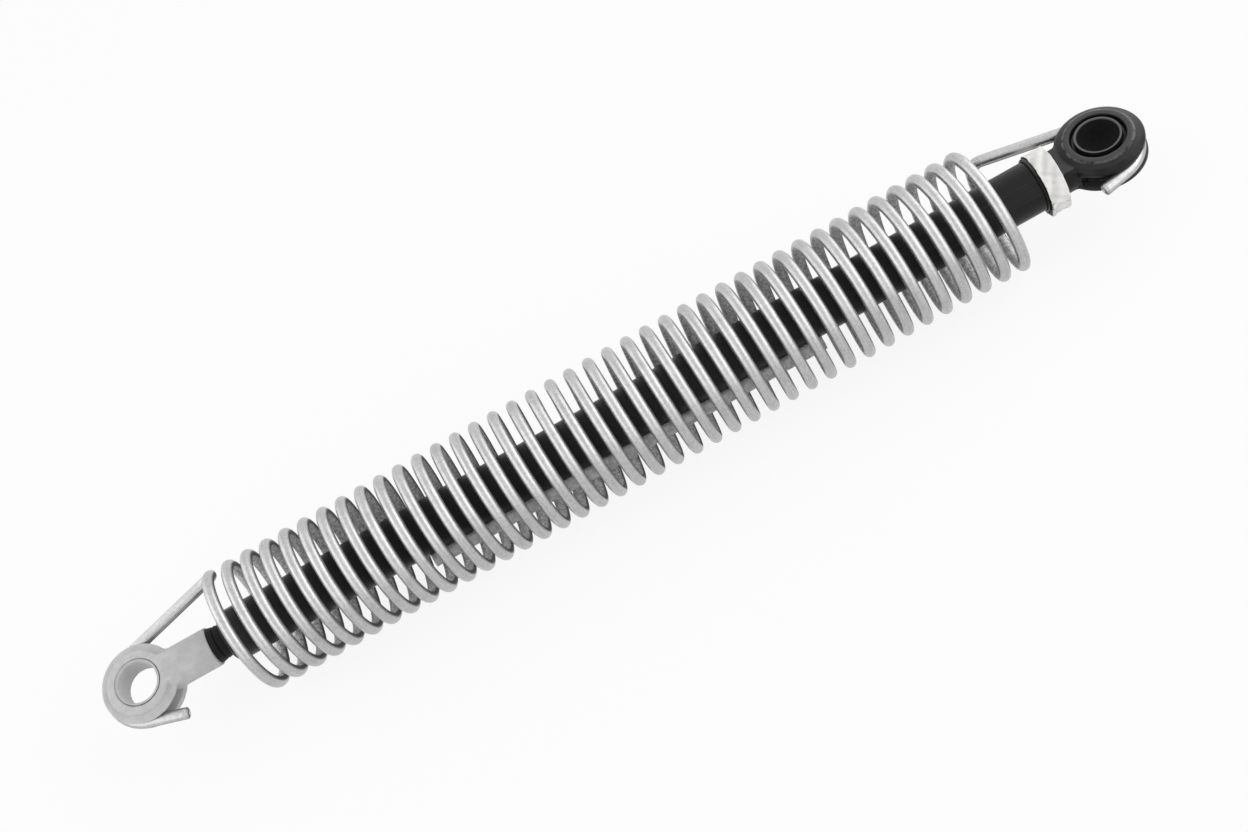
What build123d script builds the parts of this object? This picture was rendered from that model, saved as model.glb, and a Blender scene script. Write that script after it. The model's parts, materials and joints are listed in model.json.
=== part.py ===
from build123d import *
import math
import os

# Boot lid strut: an oil and gas damper inside an extension spring, shown fully closed.
# The origin is the centre of the black eye on the tube. +X runs along the strut from the grey
# eye on the rod to the black eye, and +Z is the axis of the black eye's bore. Sizes are in mm.

# Tube
tube_diameter = 15.6
tube_wall = 1.2
tube_length = 267.0
tube_edge_radius = 2.0
tube_mouth_gap = 2.0
tube_mouth_flat = 0.2
tube_eye_reach = 21.3

# Rod
rod_diameter = 6.0
rod_running_gap = 0.05
rod_end_chamfer = 0.5
rod_eye_reach = 23.8
closed_gap = 0.3
collar_length = 4.1
collar_wall = 2.55
collar_end_wall = 1.8
collar_waist = 0.35
eye_twist = 17.0

# Guide and seal in the rod end of the tube
cover_washer_thickness = 1.5
seal_length = 5.0
seal_groove_depth = 0.8
seal_washer_thickness = 1.5
guide_length = 12.0
guide_ring_wire = 1.2
guide_ring_depth = 0.4
guide_ring_opening = 3.0
free_hole_gap = 0.4

# Piston, its valve discs and the sleeve that ends the stroke
bore_running_gap = 0.05
piston_length = 10.0
piston_wall_gap = 0.4
piston_ring_width = 3.0
piston_ring_thickness = 1.0
spigot_diameter = 4.0
port_count = 4
port_diameter = 1.2
port_wall = 1.3
shim_thickness = 0.6
rebound_shim_gap = 1.6
compression_shim_gap = 1.2
backing_washer_thickness = 1.2
backing_washer_step = 1.2
nut_wall = 1.5
nut_height = 4.0
rebound_spacer_length = 20.0
rebound_spacer_wall = 2.1
rebound_spacer_gap = 0.1
full_stroke_gap = 1.5

# Floating piston, between the oil and the gas
gas_chamber_length = 20.0
floating_piston_length = 8.0
floating_piston_gap = 5.0
floating_piston_floor = 4.5
floating_piston_wall = 2.95
o_ring_wire = 1.6
o_ring_side_gap = 0.24

# Plug and stud that close the tube
plug_length = 6.0
plug_chamfer = 0.8
stud_diameter = 8.0
stud_seat_wall = 2.3

# Bores and bushes of the eyes
bore_diameter = 12.0
rod_bush_wall = 0.8
rod_bush_mouth = 0.7
rod_seat_wall = 2.6
tube_bush_front = 5.9
tube_bush_back = 8.5
tube_bush_wall = 0.8
tube_bush_mouth = 0.5
tube_eye_gap_width = 1.2
tube_eye_gap_depth = 1.8
rod_eye_gap_width = 0.3
rod_eye_gap_depth = 0.6

# Eyes, each a grooved disc with a raised boss and a stem
groove_bottom_wall = 1.9
groove_side_gap = 0.3
groove_end_reach = 10.4
rod_flange_height = 3.2
rod_flange_thickness = 0.95
rod_boss_step = 0.9
rod_boss_height = 1.4
rod_eye_edge = 0.35
tube_flange_height = 4.2
tube_flange_thickness = 2.25
tube_flange_shoulder = 0.8
tube_boss_step = 1.1
tube_eye_boss_width = 11.4
tube_eye_edge = 0.4
rod_stem_wall = 3.05
rod_stem_edge = 0.5
tube_neck_wall = 2.9
stem_blend_radius = 3.0
eye_collar_step = 0.7
eye_collar_length = 5.8
eye_collar_skirt = 0.7
eye_collar_edge = 0.5

# Tape over the collar of the black eye, thicker on the side where its layers overlap
tape_width = 6.3
tape_thin_side = 0.2
tape_thick_side = 1.2
tape_thick_angle = 221.0

# Spring
wire_diameter = 3.5
spring_diameter = 40.0
coil_turns = 40
rod_coil_reach = 32.2
tube_coil_reach = 33.0
bend_radius = 3.6
hook_gap = 0.15
lead_exit_radius = 80.0
rod_corner_angle = 30.0
rod_hook_opening = 0.65
rod_tail_length = 12.5
rod_tail_angle = 17.0
tube_corner_angle = 3.0
tube_hook_opening = 2.3
tube_tail_length = 7.9
tube_tail_angle = 12.8

# Strip between the tube and the coils
strip_length = 129.0
strip_start = 63.6
strip_width = 8.2
strip_thickness = 3.9
strip_angle = 232.0
strip_edge_radius = 0.8

# Radii that follow from the sizes above
tube_radius = tube_diameter / 2
tube_bore_radius = tube_radius - tube_wall
sliding_radius = tube_bore_radius - bore_running_gap
rod_radius = rod_diameter / 2
running_bore_radius = rod_radius + rod_running_gap
free_hole_radius = rod_radius + free_hole_gap
spigot_radius = spigot_diameter / 2
port_radius = port_diameter / 2
stud_radius = stud_diameter / 2
bore_radius = bore_diameter / 2
rod_bush_radius = bore_radius + rod_bush_wall
tube_bush_radius = bore_radius + tube_bush_wall
tube_eye_gap_radius = tube_bush_radius + tube_eye_gap_width
groove_bottom_radius = rod_bush_radius + groove_bottom_wall
groove_half = wire_diameter / 2 + groove_side_gap
rod_eye_radius = groove_bottom_radius + rod_flange_height
rod_flange_half = groove_half + rod_flange_thickness
rod_boss_half = rod_flange_half + rod_boss_height
tube_eye_radius = groove_bottom_radius + tube_flange_height
tube_flange_half = groove_half + tube_flange_thickness
rod_stem_radius = rod_radius + rod_stem_wall
tube_neck_radius = stud_radius + tube_neck_wall
eye_collar_radius = tube_radius + eye_collar_step
coil_radius = (spring_diameter - wire_diameter) / 2
hook_radius = groove_bottom_radius + wire_diameter / 2 + hook_gap

# Places along X that follow from the sizes above
tube_end = -tube_eye_reach
tube_mouth = tube_end - tube_length
collar_end = tube_mouth - closed_gap
stem_end = collar_end - collar_length
rod_eye_x = stem_end - rod_eye_reach
plug_face = tube_end - plug_length
stud_end = -(tube_eye_gap_radius + stud_seat_wall)
rod_start = rod_eye_x + rod_bush_radius + rod_seat_wall

lip_face = tube_mouth + tube_wall
seal_start = lip_face + cover_washer_thickness
seal_washer_start = seal_start + seal_length
guide_start = seal_washer_start + seal_washer_thickness
guide_end = guide_start + guide_length
guide_ring_x = guide_end + guide_ring_wire / 2

floating_piston_end = plug_face - gas_chamber_length
floating_piston_start = floating_piston_end - floating_piston_length
rod_end = floating_piston_start - floating_piston_gap
nut_start = rod_end - nut_height
compression_shim_start = nut_start - shim_thickness
piston_start = compression_shim_start - piston_length
rebound_shim_start = piston_start - shim_thickness
rod_shoulder = rebound_shim_start - backing_washer_thickness
rebound_spacer_start = rod_shoulder - rebound_spacer_length

coil_start = rod_eye_x + rod_coil_reach
coil_end = -tube_coil_reach

stroke = rebound_spacer_start - (guide_end + guide_ring_wire) - full_stroke_gap
floating_ratio = (rod_radius / tube_bore_radius) ** 2


def turned(points):
    """A solid turned about the strut's axis from corners given as (x, radius)."""
    return revolve(make_face(Polyline(*points, close=True)), Axis.X)


def ring(start, end, outer, inner):
    return turned([(start, inner), (end, inner), (end, outer), (start, outer)])


def ring_edges(part, x, radius):
    """The round edges of a turned part at one place along X with one radius."""
    found = []
    for edge in part.edges().filter_by(GeomType.CIRCLE):
        centre = edge.arc_center
        if abs(centre.X - x) < 0.01 and abs(edge.radius - radius) < 0.01:
            found.append(edge)
    return found


def cylinder_between(start, end, radius):
    return Pos((start + end) / 2, 0, 0) * Rot(0, 90, 0) * Cylinder(radius, end - start)


def make_tube():
    mouth_radius = rod_radius + tube_mouth_gap
    tube = turned([
        (tube_end, tube_bore_radius),
        (tube_end, tube_radius),
        (tube_mouth, tube_radius),
        (tube_mouth, mouth_radius),
        (lip_face, mouth_radius),
        (lip_face, tube_bore_radius),
    ])
    edge_radius = min(tube_edge_radius, tube_radius - mouth_radius - tube_mouth_flat)
    tube = fillet(ring_edges(tube, tube_mouth, tube_radius), edge_radius)
    return tube - whole_guide_ring()


def whole_guide_ring():
    """The snap ring before its gap is cut. Its wire sits partly in the tube's wall."""
    wire_radius = guide_ring_wire / 2
    centre = tube_bore_radius + guide_ring_depth - wire_radius
    return revolve(Pos(guide_ring_x, centre) * Circle(wire_radius), Axis.X)


def make_guide_ring():
    slot = Box(guide_ring_wire * 2, guide_ring_opening, tube_radius)
    return whole_guide_ring() - Pos(guide_ring_x, 0, tube_radius) * slot


def make_end_plug():
    return turned([
        (plug_face, 0),
        (plug_face, tube_bore_radius - plug_chamfer),
        (plug_face + plug_chamfer, tube_bore_radius),
        (tube_end, tube_bore_radius),
        (tube_end, stud_radius),
        (stud_end - plug_chamfer, stud_radius),
        (stud_end, stud_radius - plug_chamfer),
        (stud_end, 0),
    ])


def make_cover_washer():
    return ring(lip_face, seal_start, tube_bore_radius, free_hole_radius)


def make_seal():
    """A lip seal: the rod runs in its two lips, with a grease groove between them."""
    lip = seal_length / 4
    groove_radius = running_bore_radius + seal_groove_depth
    return turned([
        (seal_start, tube_bore_radius),
        (seal_start, running_bore_radius),
        (seal_start + lip, running_bore_radius),
        (seal_start + 1.5 * lip, groove_radius),
        (seal_start + 2.5 * lip, groove_radius),
        (seal_start + 3 * lip, running_bore_radius),
        (seal_start + seal_length, running_bore_radius),
        (seal_start + seal_length, tube_bore_radius),
    ])


def make_seal_washer():
    return ring(seal_washer_start, guide_start, tube_bore_radius, free_hole_radius)


def make_guide():
    guide = ring(guide_start, guide_end, tube_bore_radius, running_bore_radius)
    return guide - whole_guide_ring()


def make_rod():
    return turned([
        (rod_start, 0),
        (rod_start, rod_radius - rod_end_chamfer),
        (rod_start + rod_end_chamfer, rod_radius),
        (rod_shoulder, rod_radius),
        (rod_shoulder, spigot_radius),
        (rod_end, spigot_radius),
        (rod_end, 0),
    ])


def make_collar():
    """A tapered rubber collar with a shallow waist, close to the tube when the strut is shut."""
    big = rod_radius + collar_wall
    small = rod_radius + collar_end_wall
    middle = (stem_end + collar_end) / 2
    middle_radius = (big + small) / 2
    return turned([
        (stem_end, rod_radius),
        (stem_end, big),
        (middle - collar_waist, middle_radius),
        (middle, middle_radius - collar_waist),
        (middle + collar_waist, middle_radius),
        (collar_end, small),
        (collar_end, rod_radius),
    ])


def make_backing_washer():
    outer = rod_radius + backing_washer_step
    return ring(rod_shoulder, rebound_shim_start, outer, spigot_radius)


def make_rebound_shim():
    outer = tube_bore_radius - rebound_shim_gap
    return ring(rebound_shim_start, piston_start, outer, spigot_radius)


def make_piston():
    outer = tube_bore_radius - piston_wall_gap
    middle = piston_start + piston_length / 2
    groove_bottom = sliding_radius - piston_ring_thickness
    body = turned([
        (piston_start, spigot_radius),
        (piston_start, outer),
        (middle - piston_ring_width / 2, outer),
        (middle - piston_ring_width / 2, groove_bottom),
        (middle + piston_ring_width / 2, groove_bottom),
        (middle + piston_ring_width / 2, outer),
        (piston_start + piston_length, outer),
        (piston_start + piston_length, spigot_radius),
    ])
    drill = cylinder_between(piston_start, piston_start + piston_length, port_radius)
    port_circle_radius = spigot_radius + port_wall + port_radius
    for number in range(port_count):
        body -= Rot(number * 360 / port_count, 0, 0) * Pos(0, port_circle_radius, 0) * drill
    return body


def make_piston_ring():
    middle = piston_start + piston_length / 2
    half = piston_ring_width / 2
    inner = sliding_radius - piston_ring_thickness
    return ring(middle - half, middle + half, sliding_radius, inner)


def make_compression_shim():
    outer = tube_bore_radius - compression_shim_gap
    return ring(compression_shim_start, nut_start, outer, spigot_radius)


def make_piston_nut():
    hexagon = RegularPolygon(spigot_radius + nut_wall, 6, major_radius=False)
    return extrude(Plane.YZ.offset(nut_start) * (hexagon - Circle(spigot_radius)), nut_height)


def make_rebound_spacer():
    inner = rod_radius + rebound_spacer_gap
    return ring(rebound_spacer_start, rod_shoulder, inner + rebound_spacer_wall, inner)


def o_ring_centre():
    """Place along X and radius of the O-ring's wire in the floating piston."""
    x = floating_piston_start + floating_piston_length / 2
    return x, sliding_radius - o_ring_wire / 2


def make_floating_piston():
    """Solid towards the oil, hollow towards the gas, with a groove for its O-ring."""
    o_ring_x, o_ring_radius = o_ring_centre()
    half_groove = o_ring_wire / 2 + o_ring_side_gap
    groove_bottom = o_ring_radius - o_ring_wire / 2
    hollow_start = floating_piston_start + floating_piston_floor
    hollow_radius = sliding_radius - floating_piston_wall
    return turned([
        (floating_piston_start, 0),
        (floating_piston_start, sliding_radius),
        (o_ring_x - half_groove, sliding_radius),
        (o_ring_x - half_groove, groove_bottom),
        (o_ring_x + half_groove, groove_bottom),
        (o_ring_x + half_groove, sliding_radius),
        (floating_piston_end, sliding_radius),
        (floating_piston_end, hollow_radius),
        (hollow_start, hollow_radius),
        (hollow_start, 0),
    ])


def make_o_ring():
    x, radius = o_ring_centre()
    return revolve(Pos(x, radius) * Circle(o_ring_wire / 2), Axis.X)


# How far the stems reach into the disc behind the groove's floor
joint_depth = 0.3


def grooved_disc(front, back):
    """A disc turned about Z, from its outlines in front and behind as (radius, height)."""
    behind = [(radius, -height) for radius, height in reversed(back)]
    points = [(radius, 0, height) for radius, height in front + behind]
    return revolve(make_face(Polyline(*points, close=True)), Axis.Z)


def stem_web(stem_radius, reach, disc_radius, front, back):
    """The flanges run into the round stem with round corners. This fills the groove there."""
    chord = 2 * math.sqrt(stem_radius ** 2 - max(front, back) ** 2)
    plan = Circle(disc_radius) + Pos(reach / 2, 0) * Rectangle(reach, chord)
    corners = [corner for corner in plan.vertices() if corner.X < reach - 1]
    plan = fillet(corners, stem_blend_radius)
    window_length = reach - groove_end_reach
    window = Pos(reach - window_length / 2, 0) * Rectangle(window_length, disc_radius * 3)
    return Pos(0, 0, -back) * extrude(plan & window, front + back)


def make_rod_eye_at_origin():
    """The grey eye with its stem along +X and its bore along Z."""
    boss_radius = groove_bottom_radius + rod_boss_step
    gap_radius = rod_bush_radius + rod_eye_gap_width
    front = [
        (rod_bush_radius, rod_boss_half - rod_eye_gap_depth),
        (gap_radius, rod_boss_half - rod_eye_gap_depth),
        (gap_radius, rod_boss_half),
        (boss_radius - rod_eye_edge, rod_boss_half),
        (boss_radius, rod_boss_half - rod_eye_edge),
        (boss_radius, rod_flange_half),
        (rod_eye_radius - rod_eye_edge, rod_flange_half),
        (rod_eye_radius, rod_flange_half - rod_eye_edge),
        (rod_eye_radius, groove_half),
        (groove_bottom_radius, groove_half),
    ]
    back = [
        (rod_bush_radius, rod_boss_half),
        (rod_eye_radius - rod_eye_edge, rod_boss_half),
        (rod_eye_radius, rod_boss_half - rod_eye_edge),
        (rod_eye_radius, groove_half),
        (groove_bottom_radius, groove_half),
    ]
    body = grooved_disc(front, back)
    web = stem_web(rod_stem_radius, rod_eye_reach, rod_eye_radius, rod_flange_half, rod_flange_half)
    stem = cylinder_between(groove_bottom_radius - joint_depth, rod_eye_reach, rod_stem_radius)
    stem = fillet(ring_edges(stem, rod_eye_reach, rod_stem_radius), rod_stem_edge)
    stem = stem & Box(4 * rod_eye_reach, 4 * rod_stem_radius, 2 * rod_boss_half)
    seat = cylinder_between(rod_start - rod_eye_x, rod_eye_reach, rod_radius)
    return body + web + stem - seat


def make_rod_eye():
    return Pos(rod_eye_x, 0, 0) * Rot(eye_twist, 0, 0) * make_rod_eye_at_origin()


def bush_at_origin(front, back, radius, mouth):
    """A bush along Z, which stands out by its own amount in front of and behind the middle."""
    length = front + back
    bush = Cylinder(radius, length) - Cylinder(bore_radius, length)
    rims = []
    for edge in bush.edges().filter_by(GeomType.CIRCLE):
        if abs(edge.radius - bore_radius) < 0.01:
            rims.append(edge)
    return Pos(0, 0, (front - back) / 2) * fillet(rims, mouth)


def make_rod_eye_bush():
    bush = bush_at_origin(rod_boss_half, rod_boss_half, rod_bush_radius, rod_bush_mouth)
    return Pos(rod_eye_x, 0, 0) * Rot(eye_twist, 0, 0) * bush


def tube_eye_outline():
    boss = tube_eye_boss_width / 2
    boss_radius = groove_bottom_radius + tube_boss_step
    return [
        (tube_bush_radius, boss - tube_eye_gap_depth),
        (tube_eye_gap_radius, boss - tube_eye_gap_depth),
        (tube_eye_gap_radius, boss),
        (boss_radius, boss),
        (boss_radius + tube_eye_edge, boss - tube_eye_edge),
        (tube_eye_radius - tube_flange_shoulder, tube_flange_half),
        (tube_eye_radius, tube_flange_half - tube_flange_shoulder),
        (tube_eye_radius, groove_half),
        (groove_bottom_radius, groove_half),
    ]


def make_tube_eye():
    """The black eye with its neck and collar along -X."""
    full_height = tube_flange_half - tube_flange_shoulder
    collar_start = tube_eye_reach - eye_collar_length
    skirt_end = tube_eye_reach + eye_collar_skirt
    body = grooved_disc(tube_eye_outline(), tube_eye_outline())
    web = stem_web(tube_neck_radius, collar_start, tube_eye_radius, full_height, full_height)
    neck = cylinder_between(groove_bottom_radius - joint_depth, tube_eye_reach, tube_neck_radius)
    neck = neck & Box(4 * tube_eye_reach, 4 * tube_neck_radius, 2 * tube_flange_half)
    collar = cylinder_between(collar_start, skirt_end, eye_collar_radius)
    collar = fillet(ring_edges(collar, collar_start, eye_collar_radius), eye_collar_edge)
    seat = cylinder_between(-stud_end, tube_eye_reach, stud_radius)
    seat += cylinder_between(tube_eye_reach, skirt_end, tube_radius)
    return Rot(0, 0, 180) * (body + web + neck + collar - seat)


def make_tube_eye_bush():
    return bush_at_origin(tube_bush_front, tube_bush_back, tube_bush_radius, tube_bush_mouth)


def make_tape():
    """The wound tape. Its outside is off centre, because its layers overlap on one side."""
    outer_radius = eye_collar_radius + (tape_thin_side + tape_thick_side) / 2
    shift = direction(math.radians(tape_thick_angle)) * ((tape_thick_side - tape_thin_side) / 2)
    outside = Pos(shift) * cylinder_between(tube_end, tube_end + tape_width, outer_radius)
    return outside - cylinder_between(tube_end, tube_end + tape_width, eye_collar_radius)


def make_strip():
    """A strip stuck along the tube, hollowed underneath to the tube's radius."""
    start = tube_mouth + strip_start
    outer = tube_radius + strip_thickness
    block = Box(strip_length, strip_width, outer, align=(Align.MIN, Align.CENTER, Align.MIN))
    long_edges = block.edges().filter_by(Axis.X).sort_by(Axis.Z)[-2:]
    block = fillet(long_edges, strip_edge_radius)
    tube_space = Rot(0, 90, 0) * Cylinder(tube_radius, strip_length * 3)
    strip = block - tube_space
    return Pos(start, 0, 0) * Rot(strip_angle - 90, 0, 0) * strip


# The spring's centre line is straight runs joined to arcs, and arcs in pairs along the coils
def direction(angle):
    """The unit vector square to the strut's axis, at an angle from +Y towards +Z."""
    return Vector(0, math.cos(angle), math.sin(angle))


def coil_point(angle):
    return Vector(coil_x(angle), 0, 0) + direction(angle) * coil_radius


def coil_x(angle):
    share = (angle - math.radians(eye_twist)) / (2 * math.pi * coil_turns - math.radians(eye_twist))
    return coil_start + (coil_end - coil_start) * share


def coil_tangent(angle):
    rise = (coil_end - coil_start) / (2 * math.pi * coil_turns - math.radians(eye_twist))
    return (Vector(rise, 0, 0) + direction(angle + math.pi / 2) * coil_radius).normalized()


def corner_setback(way_in, way_out, radius):
    """How far before and after its corner an arc of this radius starts and ends."""
    return radius * math.tan(math.radians(way_in.get_angle(way_out)) / 2)


def hook_route(eye_x, plane_angle, corner_angle, opening, tail_length, tail_angle, side):
    """The wire from its cut end, round an eye and up to the coil, and the coil's own end angle.

    side is 1 at the rod's eye, where the coil lies towards +X, and -1 at the tube's eye. The
    groove lies in the plane at plane_angle, and the lead meets the coil at corner_angle.
    """
    along = Vector(side, 0, 0)
    out = direction(plane_angle)
    eye = Vector(eye_x, 0, 0)

    def on_hook(turn):
        return eye + (along * math.cos(turn) + out * math.sin(turn)) * hook_radius

    start_angle = corner_angle
    lead = along
    for _ in range(40):
        tangent = coil_tangent(start_angle) * side
        setback = corner_setback(lead, tangent, bend_radius)
        corner = coil_point(start_angle) - tangent * setback
        across = (corner - eye).dot(out)
        run = (corner - eye).dot(along)
        lead_turn = math.atan2(across, run) + math.acos(hook_radius / math.hypot(run, across))
        exit_way = along * math.sin(lead_turn) - out * math.cos(lead_turn)
        exit_setback = corner_setback(exit_way, lead, lead_exit_radius)
        exit_corner = on_hook(lead_turn) + exit_way * exit_setback
        lead = (corner - exit_corner).normalized()
        start_angle = corner_angle + side * math.atan(setback / coil_radius)

    # The hook holds the eye's far side, and its last quarter opens to the tail
    far_side = on_hook(math.pi)
    tail_radius = hook_radius + opening
    tail_centre = far_side + along * tail_radius
    tilt = math.radians(tail_angle)
    tail_way = along * math.cos(tilt) - out * math.sin(tilt)
    tail_start = tail_centre - (along * math.sin(tilt) + out * math.cos(tilt)) * tail_radius
    half_way = (math.pi / 2 - tilt) / 2
    tail_middle = tail_centre - (along * math.cos(half_way) + out * math.sin(half_way)) * tail_radius
    edges = [
        Edge.make_line(tail_start + tail_way * tail_length, tail_start),
        Edge.make_three_point_arc(tail_start, tail_middle, far_side),
        Edge.make_three_point_arc(far_side, on_hook((math.pi + lead_turn) / 2), on_hook(lead_turn)),
        Edge.make_tangent_arc(on_hook(lead_turn), exit_way, exit_corner + lead * exit_setback),
        Edge.make_line(exit_corner + lead * exit_setback, corner - lead * setback),
        Edge.make_tangent_arc(corner - lead * setback, lead, coil_point(start_angle)),
    ]
    return edges, start_angle


def arc_pair(first, second):
    """Two arcs that join smoothly and follow the coil from one angle to another."""
    start, end = coil_point(first), coil_point(second)
    start_way, end_way = coil_tangent(first), coil_tangent(second)
    chord = end - start
    both = start_way + end_way
    a = both.dot(both) - 4
    b = -2 * chord.dot(both)
    c = chord.dot(chord)
    arm = (-b - math.sqrt(b * b - 4 * a * c)) / (2 * a)
    joint = ((start + start_way * arm) + (end - end_way * arm)) * 0.5
    join_way = (end - start - both * arm).normalized()
    return [
        Edge.make_tangent_arc(start, start_way, joint),
        Edge.make_tangent_arc(joint, join_way, end),
    ]


def spring_edges():
    rod_corner = math.radians(rod_corner_angle)
    tube_corner = 2 * math.pi * coil_turns + math.radians(tube_corner_angle)
    rod_side, first_angle = hook_route(
        rod_eye_x, math.radians(eye_twist), rod_corner,
        rod_hook_opening, rod_tail_length, rod_tail_angle, 1)
    tube_side, last_angle = hook_route(
        0, 0, tube_corner,
        tube_hook_opening, tube_tail_length, tube_tail_angle, -1)
    halves = math.ceil((last_angle - first_angle) / math.pi)
    step = (last_angle - first_angle) / halves
    edges = list(rod_side)
    for number in range(halves):
        edges += arc_pair(first_angle + number * step, first_angle + (number + 1) * step)
    return edges + [edge.reversed() for edge in reversed(tube_side)]


def least_gap(edges):
    """The least gap of the wire to itself, on points along its centre line."""
    points = []
    travelled = 0.0
    for edge in edges:
        count = max(2, math.ceil(edge.length / 2.0))
        for number in range(count):
            points.append((travelled + edge.length * number / count, edge @ (number / count)))
        travelled += edge.length
    least = math.inf
    for i, (place, point) in enumerate(points):
        for other_place, other in points[i + 1:]:
            if other_place - place > 8 * wire_diameter:
                if abs(other.X - point.X) > 4 * wire_diameter:
                    continue
                least = min(least, (other - point).length - wire_diameter)
    return least


def make_spring():
    edges = spring_edges()
    path = Wire(edges)
    start = path @ 0
    section = Plane(origin=start, z_dir=path % 0) * Circle(wire_diameter / 2)
    spring = sweep(section, path=path)
    print("spring: length of wire", round(path.length, 1), "least gap", round(least_gap(edges), 2))
    expected = path.length * math.pi * wire_diameter ** 2 / 4
    print("spring: volume", round(spring.volume, 1), "section times length", round(expected, 1))
    return spring


makers = {
    "damper_tube": make_tube,
    "end_plug": make_end_plug,
    "cover_washer": make_cover_washer,
    "rod_seal": make_seal,
    "seal_washer": make_seal_washer,
    "rod_guide": make_guide,
    "guide_ring": make_guide_ring,
    "tube_eye": make_tube_eye,
    "tube_eye_bush": make_tube_eye_bush,
    "tape_band": make_tape,
    "anti_rattle_strip": make_strip,
    "extension_spring": make_spring,
    "piston_rod": make_rod,
    "rod_collar": make_collar,
    "rod_eye": make_rod_eye,
    "rod_eye_bush": make_rod_eye_bush,
    "rebound_spacer": make_rebound_spacer,
    "backing_washer": make_backing_washer,
    "rebound_shim": make_rebound_shim,
    "piston": make_piston,
    "piston_ring": make_piston_ring,
    "compression_shim": make_compression_shim,
    "piston_nut": make_piston_nut,
    "floating_piston": make_floating_piston,
    "floating_piston_seal": make_o_ring,
}

os.makedirs("parts", exist_ok=True)
for name, maker in makers.items():
    export_step(maker(), "parts/" + name + ".step")

print("eye to eye, closed", round(-rod_eye_x, 2))
print("stroke", round(stroke, 3), "floating piston moves", round(stroke * floating_ratio, 3))
print("floating ratio", round(floating_ratio, 5))
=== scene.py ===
# %% [markdown]
# # A boot lid strut in Blender
#
# The object is a slim black damper inside a long extension spring. Each end of the spring's
# wire runs out to a grooved eye and hooks round it. The CAD model already holds every piece at
# its real size. This lesson gives each one the look of the real part: zinc plated wire,
# moulded plastic, black paint, creased tape and soft flock. All lengths are in metres, in the
# CAD model's own frame: X along the strut, Z along the bore of the black eye.

# %% Load the fixed frame
import json
import math

import bpy
import numpy as np
from mathutils import Matrix, Vector, noise


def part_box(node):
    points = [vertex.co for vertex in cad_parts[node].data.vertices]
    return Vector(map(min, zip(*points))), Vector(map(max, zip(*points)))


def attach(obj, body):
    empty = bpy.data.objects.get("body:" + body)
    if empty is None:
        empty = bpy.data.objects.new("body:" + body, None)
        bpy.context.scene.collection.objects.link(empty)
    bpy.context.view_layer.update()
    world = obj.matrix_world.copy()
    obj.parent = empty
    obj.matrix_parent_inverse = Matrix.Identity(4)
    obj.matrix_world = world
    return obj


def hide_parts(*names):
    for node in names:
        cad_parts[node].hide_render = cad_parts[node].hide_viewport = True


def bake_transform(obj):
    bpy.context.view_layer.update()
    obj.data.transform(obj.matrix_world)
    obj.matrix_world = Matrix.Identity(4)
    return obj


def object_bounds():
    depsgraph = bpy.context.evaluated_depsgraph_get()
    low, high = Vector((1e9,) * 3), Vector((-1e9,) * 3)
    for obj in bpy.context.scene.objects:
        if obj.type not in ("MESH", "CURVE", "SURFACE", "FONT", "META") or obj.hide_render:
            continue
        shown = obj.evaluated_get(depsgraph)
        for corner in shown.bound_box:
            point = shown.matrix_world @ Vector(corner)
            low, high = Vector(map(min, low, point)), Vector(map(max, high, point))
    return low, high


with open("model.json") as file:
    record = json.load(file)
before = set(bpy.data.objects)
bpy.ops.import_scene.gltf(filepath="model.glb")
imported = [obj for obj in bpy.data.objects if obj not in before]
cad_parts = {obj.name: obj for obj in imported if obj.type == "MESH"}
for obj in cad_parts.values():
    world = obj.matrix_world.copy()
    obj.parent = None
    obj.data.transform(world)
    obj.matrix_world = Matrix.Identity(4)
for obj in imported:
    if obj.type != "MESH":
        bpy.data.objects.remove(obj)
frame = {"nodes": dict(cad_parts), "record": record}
cad_low, cad_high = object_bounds()
mm = 0.001
print("CAD nodes:", len(frame["nodes"]), "size in mm:", [round(x / mm, 1) for x in cad_high - cad_low])

# %% [markdown]
# ## The camera
#
# The photograph looks down on the strut from well above, with a lens of about 56 mm on a
# full frame. The camera stands in the plane that is square to the strut's axis, tilted from
# straight above towards the front, and is rolled so that the strut climbs to the right. Three
# plain turns one after the other say this more clearly than a list of matrix numbers.

# %% Camera
lens_mm = 56.15
sensor_mm = 36.0
near_clip = 0.01
camera_distance = 0.56083
camera_foot_x = -0.13955
camera_tilt = math.radians(41.0)
camera_turn = 0.02996
camera_roll = -0.51126

camera_data = bpy.data.cameras.new("camera")
camera_data.lens = lens_mm
camera_data.sensor_width = sensor_mm
camera_data.clip_start = near_clip
camera = bpy.data.objects.new("camera", camera_data)
bpy.context.scene.collection.objects.link(camera)
bpy.context.scene.camera = camera

tilt = Matrix.Rotation(camera_tilt, 4, "X")
camera_place = Vector((camera_foot_x, 0, 0)) + tilt @ Vector((0, 0, camera_distance))
turn_and_roll = Matrix.Rotation(camera_turn, 4, "Y") @ Matrix.Rotation(camera_roll, 4, "Z")
camera.matrix_world = Matrix.Translation(camera_place) @ tilt @ turn_and_roll
print("camera stands at", [round(x, 3) for x in camera_place])

# %% [markdown]
# ## Shader maths as plain maths
#
# A procedural finish is mostly arithmetic on patterns. Blender's Math node does one step of
# it, so a long formula becomes a tangle of boxes. Here a small class stands for one socket
# and overloads the operators, so that a formula can be written as it is read. Any other node
# comes from one method of the class that owns the nodes of a material or of the world.

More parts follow.
